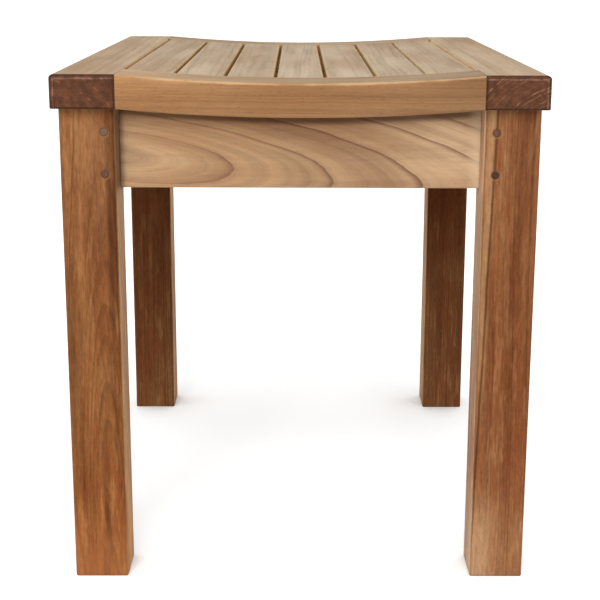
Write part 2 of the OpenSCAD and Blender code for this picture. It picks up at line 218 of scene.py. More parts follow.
def growRings(r, wood, lay):
    # Rings are counted by the distance from a log's centre line, which leans a little against the board,
    # after the places are bent across the grain by slow noise and by finer noise. A ring darkens late in
    # its width, each has its own strength, and the tone changes slowly from ring to ring.
    slow = r.noise(r.vec("MULTIPLY", lay.seeded, (9, 9, 3.2)), 1.0, output=1)
    fine = r.noise(r.vec("MULTIPLY", lay.seeded, (60, 60, 9)), 2.0, output=1)
    bent = lay.cut
    for noise, reach in ((slow, wood["warp"] * 4), (fine, wood["wander"] * 2)):
        moved = r.vec("MULTIPLY", r.vec("SUBTRACT", noise, (0.5, 0.5, 0.5)), (reach, reach, 0))
        bent = r.vec("ADD", bent, moved)
    bent = r.vec("SUBTRACT", bent, wood["pith"])
    length = r.split(bent)[2]
    bent = r.vec("ADD", bent, r.vec("MULTIPLY", r.combine(length, length, 0.0), (*wood["lean"], 0)))
    reach = r.vec("LENGTH", r.vec("MULTIPLY", bent, (1, 1, 0)))
    count = r.calc("MULTIPLY_ADD", reach, 1 / wood["ring"], wood["phase"])
    uneven = r.noise(r.combine(r.calc("MULTIPLY", count, 0.31), wood["seed"] * 3.7, 0.0), 1.0)
    count = r.calc("ADD", count, r.swing(uneven, wood["uneven"]))
    number, part = r.calc("FLOOR", count), r.calc("FRACT", count)
    chance = r.put("ShaderNodeTexWhiteNoise", {"W": r.calc("ADD", number, wood["seed"] * 11)},
                   noise_dimensions="1D").outputs[0]
    strength = r.ease(chance, 0.15, 1.0, 0.12, 1.0)
    if wood["every"]:  # one ring in so many is strong
        strong = r.calc("COMPARE", r.calc("MODULO", number, wood["every"]), 1.0, 0.1)
        strength = r.calc("MULTIPLY_ADD", strong, 0.75, r.calc("MULTIPLY", strength, 0.25))
    late = r.product(r.ease(part, 0.35, 0.93), r.ease(part, 0.95, 1.0, 1.0, 0.0))
    late = r.calc("POWER", late, wood["sharp"])
    fade = r.ease(r.noise(r.vec("MULTIPLY", lay.seeded, (25, 25, 7)), 2.0), 0.32, 0.58, 0.35, 1.0)
    toneRun = r.combine(r.product(count, 0.55), wood["seed"], r.product(lay.along, 3.0))
    laceRun = r.combine(r.product(count, 3.4), wood["seed"] * 1.9, r.product(lay.along, 9.0))
    lay.part, lay.chance, lay.line = part, chance, r.product(late, strength, fade)
    lay.tone, lay.lace = r.noise(toneRun, 2.0), r.noise(laceRun, 3.0, 0.6)


def growFibres(r, wood, lay):
    # Bands, patches, fibres and strands are noise drawn out along the grain. Pores are the middles of long
    # cells, and most of them are in the early part of a ring.
    seeded = lay.seeded
    lay.band = r.noise(r.vec("MULTIPLY", seeded, (95, 95, 5)), 3.0, 0.6)
    lay.patch = r.noise(r.vec("MULTIPLY", seeded, (16, 16, 4)), 2.0, 0.5)
    lay.fibre = r.noise(r.vec("MULTIPLY", seeded, (1100, 1100, wood["fibreRun"])), 3.0, 0.65)
    lay.strand = r.noise(r.vec("MULTIPLY", seeded, (480, 480, wood["strandRun"])), 3.0, 0.7)
    early = r.ease(lay.part, 0.02, 0.34, 1.0, 0.0)
    middles = r.ease(r.cells(r.vec("MULTIPLY", seeded, (1500, 1500, 130))), 0.12, 0.32, 1.0, 0.0)
    lay.pore = r.product(middles, r.calc("MULTIPLY_ADD", early, 0.75, 0.25))


def arcRadius(r, place):
    # the distance from the dish's axis: the root of x squared plus the drop from the axis squared
    part = r.split(place)
    x, z = part[0], part[2]
    drop = r.calc("SUBTRACT", dish["axisHeight"], z)
    return r.calc("SQRT", r.calc("ADD", r.calc("MULTIPLY", x, x), r.calc("MULTIPLY", drop, drop))), z


def findEdges(r, wood, lay):
    # The distance to the board's nearest edge is the second smallest of its distances to the three pairs of
    # faces. An arched board's top and underside are measured from their arcs. It is worn where the edge is
    # near, raggedly.
    gap = [r.calc("SUBTRACT", lay.half[i], r.calc("ABSOLUTE", lay.xyz[i])) for i in range(3)]
    arc = wood.get("arc")
    if arc:
        under = r.calc("SUBTRACT", arcRadius(r, lay.turned)[0], dish["radius"])
        gap[2] = r.calc("MINIMUM", under, r.calc("SUBTRACT", arc, under))
    small, large = r.calc("MINIMUM", gap[0], gap[1]), r.calc("MAXIMUM", gap[0], gap[1])
    lay.edge = r.calc("MAXIMUM", small, r.calc("MINIMUM", large, gap[2]))
    lay.rub = r.noise(r.vec("MULTIPLY", lay.seeded, (70, 70, 40)), 3.0, 0.6)
    ragged = r.calc("ADD", lay.edge, r.swing(lay.rub, wood["wearReach"] * 1.4))
    lay.worn = r.ease(ragged, wood["wearReach"] * 0.35, wood["wearReach"], 1.0, 0.0)
    if arc:  # the underside is rubbed less than the top
        lay.worn = r.product(lay.worn, r.ease(under, 0.3 * arc, 0.6 * arc, 1.0, 0.15))


def colourRings(r, wood, lay):
    # patches between pale and warm, with blotches a few millimetres wide, darkened by bands, tones and ring
    # lines
    pale, warm, dark = (linear(wood[key]) for key in ("pale", "warm", "dark"))
    colour = r.mix(r.ease(lay.patch, 0.3, 0.7), pale, warm)
    if wood["blotch"]:
        blotch = r.noise(r.vec("MULTIPLY", lay.seeded, (190, 190, 24)), 3.0, 0.6)
        colour = r.mix(r.product(r.ease(blotch, 0.5, 0.72), wood["blotch"]), colour, linear(wood["red"]))
        colour = r.mix(r.product(r.ease(blotch, 0.48, 0.3), wood["blotch"]), colour, linear(wood["gold"]))
    colour = r.mix(r.product(r.ease(lay.band, 0.45, 0.75), wood["bandDepth"]), colour, dark)
    colour = r.mix(r.product(r.ease(lay.tone, 0.4, 0.72), wood["toneDepth"]), colour, dark)
    return r.mix(r.product(lay.line, wood["lineDepth"]), colour, dark)


def addStreaksAndArrisShade(r, wood, lay, colour):
    # A streak is a soft line along the board at one place in x. It may slope, it wobbles by its own
    # width, and it fades out beyond the ends of its span. It is left off the faces that it would cover from
    # side to side.
    # Most are grain; some are painted shade along an arris.
    for stripe in wood.get("streaksAndArrisShade", ()):
        width = stripe["width"]
        offset = r.calc("SUBTRACT", lay.xyz[0], stripe["at"] - lay.centre[0])
        offset = r.calc("ADD", offset, r.calc("MULTIPLY", lay.along, stripe.get("slope", 0.0)))
        wobble = r.noise(r.combine(0.0, wood["seed"], r.calc("MULTIPLY", lay.along, 14.0)), 2.0)
        offset = r.calc("ADD", offset, r.swing(wobble, width))
        low, high, fade = stripe.get("span", (-9, 9, 0.02))
        shape = r.product(
            r.ease(r.calc("ABSOLUTE", offset), width * 0.15, width, 1.0, 0.0),
            r.ease(lay.band, 0.2, 0.6, 0.45, 1.0),
            r.ease(lay.facing[0], 0.5, 0.9, 1.0, 0.0),
            r.ease(lay.along, low - fade, low + fade),
            r.ease(lay.along, high - fade, high + fade, 1.0, 0.0),
            stripe["depth"])
        colour = r.mix(shape, colour, linear(stripe.get("colour", wood["dark"])))
    return colour


def addGrain(r, wood, lay, colour):
    # light and dark of fibres and strands, and fine lines that follow the rings
    colour = r.vec("MULTIPLY", colour, r.swing(lay.fibre, wood["fibreDepth"] * 2, 1.0))
    colour = r.vec("MULTIPLY", colour, r.swing(lay.strand, wood["strand"] * 3.5, 1.0))
    if wood["lace"]:
        colour = r.vec("MULTIPLY", colour, r.swing(lay.lace, wood["lace"] * 3.5, 1.0))
    return colour


def paintRailShadow(r, wood, lay, colour):
    # painted shadow under the seat's rail, by the distance below its arc or below the stile beside it: painted
    # light lifts the apron a little way down, and a dark painted shadow lies right under the rail
    radius, z = arcRadius(r, lay.object)
    below = r.calc("SUBTRACT", radius, dish["radius"] + dish["frameThick"])
    below = r.calc("MINIMUM", below, r.calc("SUBTRACT", joinery["legTop"], z))
    below = r.calc("MULTIPLY_ADD", lay.band, 0.003, r.calc("SUBTRACT", below, 0.0015))
    colour = r.vec("MULTIPLY", colour, r.ease(below, 0.011, 0.042, 1 + wood["paintedUnderRail"], 1.0))
    return r.mix(r.ease(below, 0.0060, 0.0115, 0.78, 0.0), colour, linear(wood["paintedRailShadow"]))


def addTints(r, wood, lay, colour):
    # slow changes of tone along a board, and painted light, sheen and shade on some of its faces
    if any(wood["drift"]):  # red, green and blue each change evenly along the board
        colour = r.vec("MULTIPLY", colour, r.vec("MULTIPLY_ADD", lay.alongs, wood["drift"], (1, 1, 1)))
    if "ends" in wood:  # one tint halfway along and another at the ends, by the square of the distance
        middle, tip, length = wood["ends"]
        share = r.calc("POWER", r.calc("ABSOLUTE", r.calc("DIVIDE", lay.along, length)), 2.0, clamp=True)
        colour = r.vec("MULTIPLY", colour, r.mix(share, (*middle, 1), (*tip, 1)))
    if "inner" in wood:  # the face turned to the other side of the bench: painted sheen on the legs, painted light on the stiles' walls of the gaps; beside the apron, painted shade on the left front leg and painted light on the right one
        sign, tint = wood["inner"]
        own = r.vec("MULTIPLY", colour, tint)
        if "paintedBesideApron" in wood:
            start, level = wood["paintedBesideApron"]
            own = r.vec("MULTIPLY", own, r.ease(lay.along, start - 0.006, start + 0.006, 1.0, level))
        inward = r.product(lay.normal[0], sign)
        colour = r.mix(r.ease(inward, 0.7, 0.95), colour, own)
    if "paintedForeShade" in wood:  # painted shade on the face towards the bench's front end: its own level and fall in tone, darkest high up under the seat
        level, fall = wood["paintedForeShade"]
        own = r.vec("MAXIMUM", r.vec("MULTIPLY_ADD", lay.alongs, fall, level), wood["paintedForeShadeLeast"])
        own = r.vec("MULTIPLY", colour, own)
        colour = r.mix(r.ease(lay.normal[1], -0.8, -0.2, 1.0, 0.0), colour, own)
    if "sides" in wood:  # both faces across one axis, paler or greyer with the same grain: painted sheen on the legs' sides and on the rails' top and underside, painted light on the slats' walls in the gaps
        axis, tint = wood["sides"]
        colour = r.mix(r.ease(lay.facing[axis], 0.7, 0.95), colour, r.vec("MULTIPLY", colour, tint))
    return colour


def colourEnd(r, wood, lay):
    # end grain: dark with oil and open cells, with thin broken pale rings, paler where it is rubbed
    cells = r.cells(r.vec("MULTIPLY", lay.seeded, (1300, 1300, 200)))
    cell = r.calc("MULTIPLY_ADD", r.ease(cells, 0.1, 0.4), 0.35, 0.65)
    broken = r.noise(r.vec("MULTIPLY", lay.seeded, (170, 170, 60)), 3.0, 0.6)
    wide = wood["endLine"]
    pale = r.product(
        r.ease(lay.part, 0.0, 0.4 * wide), r.ease(lay.part, 0.45 * wide, wide, 1.0, 0.0),
        r.ease(broken, *wood["endBroken"]), r.ease(lay.chance, 0.1, 0.8, 0.15, 1.0), wood["endRing"])
    colour = r.mix(pale, linear(wood["endDark"]), linear(wood["endLight"]))
    colour = r.vec("MULTIPLY", colour, r.product(cell, r.ease(broken, 0.3, 0.7, 0.75, 1.3)))
    colour = r.mix(r.product(lay.worn, wood["endWear"]), colour, linear(wood["endLight"]))
    if "endHighlightInset" in wood:  # a painted highlight where the end's rounding starts, with painted shade on the rounding outside it
        inset = wood["endHighlightInset"]
        outward = r.calc("SUBTRACT", lay.half[0], r.product(lay.xyz[0], wood["outer"]))
        rim = r.calc("MINIMUM", outward, r.calc("SUBTRACT", lay.half[2], lay.xyz[2]))
        rim = r.calc("ADD", rim, r.swing(lay.rub, 0.0016))
        paintedRimHighlight = r.product(r.ease(rim, inset * 0.7, inset), r.ease(rim, inset, inset * 1.4, 1.0, 0.0),
                            r.ease(broken, 0.35, 0.6, 0.25, 1.0), 0.36)
        colour = r.mix(paintedRimHighlight, colour, linear(wood["endHighlightColour"]))
        paintedRoundShade = r.ease(lay.edge, 0.1 * inset, 0.85 * inset, 0.7, 0.0)
        colour = r.mix(paintedRoundShade, colour, linear(wood["endRoundShade"]))
    return colour


def awayFrom(r, lay, spot):
    # how far a point is from a place along one axis, either way
    axis = spot["axis"]
    return r.calc("ABSOLUTE", r.calc("SUBTRACT", lay.xyz[axis], spot["at"] - lay.centre[axis]))


def markJoints(r, wood, lay, colour, height):
    # dirt in the joints where the board meets its neighbours, stains and painted shade and light beside them,
    # and rubbed rims of the peg holes, with a painted highlight crescent on their lower side
    for joint in wood.get("joints", ()):
        seam = r.ease(awayFrom(r, lay, joint), 0.00015, joint["width"], 1.0, 0.0)
        colour = r.mix(r.product(seam, joint["depth"]), colour, linear(wood["jointDirt"]))
        height = r.calc("SUBTRACT", height, seam)
    for tintStrip in wood.get("stainsAndPaintedShading", ()):
        amount = r.ease(awayFrom(r, lay, tintStrip), 0.0, tintStrip["width"], tintStrip["depth"], 0.0)
        colour = r.mix(amount, colour, linear(tintStrip["colour"]))
    for hole in wood.get("holes", ()):
        flat = r.vec("MULTIPLY", r.vec("SUBTRACT", lay.object, hole["at"]), hole["plane"])
        out, aside = r.vec("LENGTH", flat), r.vec("LENGTH", r.vec("ADD", flat, pegRim["aside"]))
        dip = r.ease(out, pegRim["edge"], pegRim["dip"], 1.0, 0.0)
        height = r.calc("SUBTRACT", height, r.product(dip, pegRim["sunk"]))
        # a painted highlight crescent on the lower side of the rim
        paintedCrescent = r.ease(aside, *pegRim["paintedCrescent"], 0.45, 0.0)
        colour = r.mix(paintedCrescent, colour, linear(wood["pale"]))
        glue = r.ease(out, pegRim["edge"], pegRim["glue"], 0.35, 0.0)
        colour = r.mix(glue, colour, linear(wood["pegGlue"]))
    return colour, height


def cutTeak(name, board):
    # one board's wood: its figure, its tints, its pores and wear, its end grain, and then the marks of its
    # joints
    wood = {**teak, **board}
    r = Recipe(name)
    lay = layBoard(r, wood)
    growRings(r, wood, lay)
    growFibres(r, wood, lay)
    findEdges(r, wood, lay)
    colour = addGrain(r, wood, lay, addStreaksAndArrisShade(r, wood, lay, colourRings(r, wood, lay)))
    if "paintedUnderRail" in wood:
        colour = paintRailShadow(r, wood, lay, colour)
    colour = addTints(r, wood, lay, colour)
    colour = r.vec("MULTIPLY", colour, r.calc("MULTIPLY_ADD", lay.pore, -wood["poreDepth"], 1.0))
    colour = r.mix(r.product(lay.worn, wood["wear"]), colour, linear(wood.get("wornTo", wood["pale"])))
    endOn = r.ease(lay.facing["xyz".index(wood["grain"])], *wood["endFrom"])
    colour = r.mix(endOn, colour, colourEnd(r, wood, lay))
    height = r.calc("ADD", r.product(lay.fibre, 0.35), r.product(lay.line, 0.35))
    height = r.calc("SUBTRACT", height, r.product(lay.pore, 0.5))
    colour, height = markJoints(r, wood, lay, colour, height)
    rough = r.calc("ADD", r.swing(lay.fibre, 0.16, wood["rough"]), r.product(endOn, 0.12))
    rough = r.calc("SUBTRACT", rough, r.product(lay.worn, 0.08), clamp=True)
    return r.finish(colour, rough, height, wood["relief"], Specular_IOR_Level=wood["shine"])


def dress(node, material):
    # the CAD node keeps its mesh and gets this material all over
    body = nodes[node]
    body.data.materials.clear()
    body.data.materials.append(material)


def boxOf(node):
    low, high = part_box(node)
    return list(low), list(high)


# a streak is at a place in x, and its span is measured up the leg from the middle of the leg's box
legs = {
    "look": {"grain": "z", "pale": (123, 81, 47), "warm": (105, 60, 31), "dark": (52, 27, 14),
             "red": (105, 52, 26), "gold": (138, 95, 58), "blotch": 0.6, "fibreDepth": 0.26,
             "strand": 0.26, "strandRun": 120, "ring": 0.0022, "warp": 0.0020, "wander": 0.0009,
             "lineDepth": 0.42, "bandDepth": 0.42, "wear": 0.2, "wearReach": 0.0020, "shine": 0.012,
             # painted sheen: the legs' sides are tinted paler and bluer
             "sides": (0, (1.05, 1.2, 1.4))},
    # the legs' inner faces are tinted paler and bluer as painted sheen
    "innerPaintedLight": (2.1, 2.7, 3.3), "boxTop": 0.5,
    # on the front legs, the inner face above the apron's underside gets painted shade on the left leg and
    # painted light on the right leg
    "front_left": {"pith": (0.010, -0.030, -0.27), "lean": (0.0, 0.055), "seed": 3.1,
                   "drift": (0.1, 0.5, 1.05), "paintedBesideApron": (0.106, 0.48),
                   "ends": ((0.9, 0.9, 0.9), (1.3, 1.32, 1.35), 0.25), "stainsAndPaintedShading": [
        {"axis": 2, "at": 0.0, "width": 0.080, "depth": 0.28, "colour": (150, 100, 63)}], "streaksAndArrisShade": [
        {"at": -0.1700, "width": 0.0140, "depth": 0.35, "span": (0.05, 0.3, 0.06), "colour": (76, 46, 33)},
        {"at": -0.1970, "width": 0.0180, "depth": 0.34, "span": (-0.16, 0.02, 0.06)},
        # the next two are painted shade along the leg's inner front arris
        {"at": -0.1578, "width": 0.0040, "depth": 0.8, "span": (-0.07, 0.3, 0.13)},
        {"at": -0.1628, "width": 0.0040, "depth": 0.6, "span": (0.0, 0.3, 0.08)},
        {"at": -0.1736, "width": 0.0055, "depth": 0.4, "span": (-0.215, -0.12, 0.03)},
        {"at": -0.1952, "slope": 0.113, "width": 0.0036, "depth": 0.55, "span": (-0.228, -0.18, 0.012)}]},
    # a thin dark line runs down from the pegs to the arris, with a broad darker band further out
    "front_right": {"pith": (-0.085, 0.05, 0.0), "lean": (0.004, -0.006), "seed": 5.0, "blotch": 0.5,
                    "drift": (-0.2, -0.2, -0.2), "paintedBesideApron": (0.106, 1.25),
                    "ends": ((0.92, 0.87, 0.79), (1.19, 1.27, 1.35), 0.25),
                    "pale": (121, 82, 53), "warm": (104, 62, 37), "gold": (139, 99, 68), "streaksAndArrisShade": [
        {"at": 0.1600, "slope": -0.0133, "width": 0.0062, "depth": 0.75, "span": (-0.09, 0.3, 0.05),
         "colour": (136, 103, 73)},
        {"at": 0.1885, "width": 0.0100, "depth": 0.42, "span": (-0.18, 0.3, 0.05), "colour": (72, 33, 16)},
        {"at": 0.1650, "width": 0.0220, "depth": 0.6, "span": (-0.9, -0.185, 0.03), "colour": (142, 109, 79)},
        {"at": 0.1624, "slope": -0.026, "width": 0.0018, "depth": 0.7, "span": (-0.235, 0.3, 0.02)},
        {"at": 0.1715, "slope": -0.012, "width": 0.0014, "depth": 0.15, "span": (-0.22, 0.1, 0.05)},
        {"at": 0.1990, "width": 0.0030, "depth": 0.4, "span": (-0.1, 0.3, 0.08)}]},
    # the rear legs' front faces get painted shade, darkest high up under the seat and lighter towards the
    # floor
    "rear_left": {"pith": (0.06, -0.07, 0.0), "lean": (-0.004, 0.006), "seed": 6.9,
                  "paintedForeShade": ((0.35, 0.29, 0.26), (-2.2, -2.8, -3.4))},
    "rear_right": {"pith": (-0.07, -0.06, 0.0), "lean": (0.004, 0.006), "seed": 8.8,
                   "paintedForeShade": ((0.46, 0.42, 0.40), (-1.9, -2.4, -3.1))},
}


def makeLegs(setup):
    for corner in ("front_left", "front_right", "rear_left", "rear_right"):
        low, high = boxOf("leg_" + corner)
        high[2] = setup["boxTop"]  # the top is hidden in the seat, so it counts as no edge
        side = 1 if "right" in corner else -1
        end = 1 if "rear" in corner else -1
        holes = [{"at": (side * joinery["pegX"], 0, z), "plane": (1, 0, 1)} for z in joinery["endPegs"]]
        holes += [{"at": (0, end * joinery["pegY"], z), "plane": (0, 1, 1)} for z in joinery["sidePegs"]]
        board = {**setup["look"], **setup[corner], "low": low, "high": high, "holes": holes,
                 "inner": (-side, setup["innerPaintedLight"]),
                 "joints": [{"axis": 2, "at": joinery["legTop"], "width": 0.0006, "depth": 0.6}]}
        dress("leg_" + corner, cutTeak("teakLeg_" + corner, board))


makeLegs(legs)
print("legs cut")

aprons = {
    "look": {"pale": (154, 128, 98), "warm": (130, 99, 71), "dark": (80, 45, 32),
             "ring": 0.0048, "warp": 0.0018, "wander": 0.0018, "lineDepth": 0.82, "bandDepth": 0.2,
             "fibreDepth": 0.10, "poreDepth": 0.12, "wear": 0.15, "lace": 0.15, "strand": 0.07},
    # the front apron's rings run out to the right in long noses
    "front": {"grain": "x", "pith": (-0.010, -0.0065, -0.1713), "lean": (0.2075, 0.12), "seed": 5.2,
              "ring": 0.00567, "phase": 0.81, "uneven": 0.15, "every": 3, "sharp": 3.2, "toneDepth": 0.34,
              # painted shadow under the seat's rail, with painted light a little below it
              "paintedUnderRail": 0.45, "lineDepth": 0.76, "drift": (-0.65, -0.85, -0.85),
              "ends": ((0.90, 0.875, 0.85), (1.26, 1.32, 1.37), 0.157), "stainsAndPaintedShading": [
        # painted shade at the left end beside the leg, and painted light at the right end
        {"axis": 0, "at": -0.1565, "width": 0.0060, "depth": 0.6, "colour": (62, 39, 24)},
        {"axis": 0, "at": 0.1565, "width": 0.0140, "depth": 0.4, "colour": (196, 170, 140)}]},
    # the rear apron gets the same painted shadow and painted light under its rail
    "rear": {"grain": "x", "pith": (0.01, -0.06, 0.0), "lean": (0.05, 0.02), "seed": 8.4, "paintedUnderRail": 0.4},
    "left": {"grain": "y", "pith": (0.03, -0.05, 0.0), "lean": (0.06, 0.03), "seed": 11.7},
    "right": {"grain": "y", "pith": (-0.03, 0.06, 0.0), "lean": (0.08, -0.02), "seed": 14.9},
    "tenon": 0.05,  # the shoulders count as no edge, so the box runs on past them
}


def makeAprons(setup):
    for name in ("front", "rear", "left", "right"):
        low, high = boxOf("apron_" + name)
        axis, stop = (0, joinery["apronEndX"]) if name in ("front", "rear") else (1, joinery["apronEndY"])
        joints = [{"axis": axis, "at": s * stop, "width": 0.0007, "depth": 0.7} for s in (-1, 1)]
        low[axis], high[axis] = -stop - setup["tenon"], stop + setup["tenon"]
        board = {**setup["look"], **setup[name], "low": low, "high": high, "joints": joints}
        dress("apron_" + name, cutTeak("teakApron_" + name, board))


makeAprons(aprons)
print("aprons cut")

stiles = {
    "look": {"grain": "y", "pale": (145, 127, 103), "warm": (126, 103, 78), "dark": (84, 60, 40),
             "sides": (0, (0.98, 0.92, 0.8)),
             "ring": 0.0034, "lineDepth": 0.3, "bandDepth": 0.2, "warp": 0.001, "wander": 0.0008,
             "wearReach": 0.0026,
             # the ends get painted shade on their outer rounding and a painted highlight where it starts
             "endDark": (70, 42, 27), "endLight": (120, 88, 64), "endRoundShade": (30, 16, 10), "endWear": 0.0,
             "endHighlightInset": 0.0034, "endHighlightColour": (140, 108, 98), "endFrom": (0.12, 0.4), "rough": 0.6},
    # each stile's inner face, a wall of the gap beside the slats, is brightened as painted light
    "left": {"pith": (-0.035, -0.045, 0.0), "lean": (0.01, 0.0), "seed": 21.3, "ring": 0.0050,
             "endRing": 0.30, "endBroken": (0.50, 0.62), "endLine": 0.26, "innerPaintedLight": (1.8, 1.55, 1.15)},
    "right": {"pith": (0.048, -0.064, 0.0), "lean": (-0.01, 0.0), "seed": 24.1, "ring": 0.0040,
              "endRing": 0.70, "endBroken": (0.34, 0.54), "endLine": 0.24, "innerPaintedLight": (2.25, 2.25, 2.2)},
}


def makeStiles(setup):
    for name in ("left", "right"):
        low, high = boxOf("seat_stile_" + name)
        outer = 1 if name == "right" else -1
        board = {**setup["look"], **setup[name], "low": low, "high": high, "outer": outer}
        board["inner"] = (-outer, board["innerPaintedLight"])
        dress("seat_stile_" + name, cutTeak("teakStile_" + name, board))


makeStiles(stiles)

rails = {
    "look": {"grain": "x", "pale": (132, 98, 67), "warm": (113, 80, 50), "dark": (72, 43, 24),
             "ring": 0.0024, "warp": 0.001, "wander": 0.0006, "lineDepth": 0.17, "bandDepth": 0.17,
             "wornTo": (168, 138, 100), "wear": 0.5, "wearReach": 0.0024,
             # painted sheen: the rails' top and underside are tinted paler and bluer
             "sides": (2, (1.05, 1.32, 1.6))},
    "front": {"pith": (0.02, -0.09, 0.0), "lean": (0.004, 0.01), "seed": 31.5, "drift": (-1.5, -1.5, -1.5)},
    "rear": {"pith": (-0.02, -0.10, 0.0), "lean": (0.0, 0.008), "seed": 34.2},
    "centre": {"pith": (0.03, -0.07, 0.0), "lean": (0.01, 0.01), "seed": 37.8},
    "reach": 0.2,  # past the shoulders, which count as no edge
}


def makeRails(setup):
    for name in ("front", "rear", "centre"):
        low, high = boxOf("seat_rail_" + name)
        low[0], high[0] = -setup["reach"], setup["reach"]
        joints = [{"axis": 0, "at": s * joinery["railEnd"], "width": 0.0008, "depth": 0.8} for s in (-1, 1)]
        board = {**setup["look"], **setup[name], "low": low, "high": high, "joints": joints}
        if name != "centre":
            board["arc"] = dish["frameThick"]
        dress("seat_rail_" + name, cutTeak("teakRail_" + name, board))


makeRails(rails)

slats = {
    "look": {"grain": "y", "pale": (145, 130, 109), "warm": (129, 108, 85), "dark": (86, 62, 42),
             "ring": 0.0036, "lineDepth": 0.28, "bandDepth": 0.24, "warp": 0.001, "wander": 0.0008,
             "rough": 0.62, "wornTo": (166, 144, 104), "wear": 0.5, "wearReach": 0.0022,
             # painted light: the slats' walls in the gaps are tinted paler
             "sides": (0, (1.5, 1.2, 0.75))},
    # more painted light on the gap walls of the sixth and seventh slats
    "paintedLightSides": {5: (0, (1.8, 1.75, 1.5)), 6: (0, (2.2, 2.35, 2.5))},
    "pith": [(0.05, -0.08), (-0.04, -0.05), (0.015, -0.035), (0.07, -0.06), (-0.02, -0.045), (0.05, -0.09),
             (-0.08, -0.05)],
    "step": 0.0439173, "half": 0.0204587, "reach": 0.3, "top": 0.450,
}


def makeSlats(setup):
    for number in range(7):
        node = "seat_slat_%d" % (number + 1)
        turn = -(number - 3) * setup["step"] / dish["radius"]
        low = [-setup["half"], -setup["reach"], setup["top"] - dish["slatThick"]]
        high = [setup["half"], setup["reach"], setup["top"]]
        joints = [{"axis": 1, "at": s * joinery["slatEnd"], "width": 0.0008, "depth": 0.7} for s in (-1, 1)]
        board = {**setup["look"], "low": low, "high": high, "turn": turn, "arc": dish["slatThick"],
                 "joints": joints, "pith": (*setup["pith"][number], 0.0),
                 "lean": (0.01 * (number % 3 - 1), 0.006), "seed": 41.0 + number * 2.7}
        board["sides"] = setup["paintedLightSides"].get(number, board["sides"])
        dress(node, cutTeak("teakSlat_%d" % (number + 1), board))


makeSlats(slats)
print("seat cut")

blocks = {"grain": "x", "pale": (140, 98, 64), "warm": (118, 76, 46), "dark": (74, 42, 24), "rough": 0.66,
          "ring": 0.003, "pith": (0.05, -0.06, 0.0), "lean": (0.02, 0.0)}


def makeBlocks(setup):
    for number, corner in enumerate(("front_left", "front_right", "rear_left", "rear_right")):
        low, high = boxOf("corner_block_" + corner)
        board = {**setup, "low": low, "high": high, "seed": 61.0 + number * 3.3}
        dress("corner_block_" + corner, cutTeak("teakBlock_" + corner, board))


makeBlocks(blocks)
print("blocks cut")


def spin(profile, sides, shape=None):
    # Rings of points about Z from a profile of (radius, height), which starts and ends on the axis.
    # shape(radius, angle, height) may move them. Quads join neighbouring rings, and fans close the poles.
    radius, height = np.array(profile, float).T
    angle = np.arange(sides) * 2 * np.pi / sides
    radius, angle, height = np.broadcast_arrays(radius[:, None], angle[None], height[:, None])
    if shape:
        radius, angle, height = shape(radius, angle, height)
    ring = np.stack([radius * np.cos(angle), radius * np.sin(angle), height], -1)
    points = np.vstack([ring[0, :1], ring[1:-1].reshape(-1, 3), ring[-1, :1]])
    index = 1 + np.arange(len(points) - 2).reshape(-1, sides)
    after = np.roll(index, -1, 1)
    quads = np.stack([index[:-1], after[:-1], after[1:], index[1:]], -1).reshape(-1, 4)
    first = np.stack([np.zeros(sides, int), after[0], index[0]], -1)
    last = np.stack([np.full(sides, len(points) - 1), index[-1], after[-1]], -1)
    return points, quads, np.vstack([first, last])


def aimed(direction, turn=0.0):
    # the rotation that brings +Z to a direction, after a turn about Z itself
    spun = Matrix.Rotation(turn, 3, "Z")
    return np.array(Vector(direction).to_track_quat("Z", "Y").to_matrix() @ spun)


def makePiece(name, shapes, material, node):
    # each shape is (points, quads, triangles, tone) in metres; each point keeps its tone and its place in
    # its own shape
    start, points, faces, tones, places = 0, [], [], [], []
    for (ownPoints, quads, triangles), rotation, seat, tone in shapes:
        points.append(ownPoints @ rotation.T + seat)
        faces += (quads + start).tolist() + (triangles + start).tolist()
        tones.append(np.full(len(ownPoints), tone))
        places.append(ownPoints + (0.0, 0.0, tone * 0.37))
        start += len(ownPoints)
    mesh = bpy.data.meshes.new(name)
    mesh.from_pydata(np.vstack(points).tolist(), [], faces)
    toneOf = mesh.attributes.new("tone", "FLOAT", "POINT")
    toneOf.data.foreach_set("value", np.concatenate(tones))
    placeOf = mesh.attributes.new("place", "FLOAT_VECTOR", "POINT")
    placeOf.data.foreach_set("vector", np.vstack(places).ravel())
    mesh.shade_smooth()
    mesh.set_sharp_from_angle(angle=math.radians(42))
    mesh.materials.append(material)
    piece = bpy.data.objects.new(name, mesh)
    scene.collection.objects.link(piece)
    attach(piece, "root")
    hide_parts(node["name"])


pegs = {
    "radius": 0.00325, "proud": 0.0003, "length": 0.043, "dome": 0.00016, "round": 0.0005,
    "sides": 48,
    # upper then lower, of the left leg and then the right, or of the front leg and then the rear
    # the front left leg's upper peg takes the pale tone as a painted highlight; the other tones are each peg's
    # own colour
    "tones": {"front": (0.85, 0.28, 0.34, 0.1), "rear": (0.3, 0.6, 0.45, 0.15), "left": (0.2, 0.5, 0.35, 0.7),
              "right": (0.55, 0.25, 0.1, 0.4)},
    "dark": (44, 25, 14), "mid": (88, 58, 40), "pale": (98, 80, 68), "glue": (46, 28, 18),
}


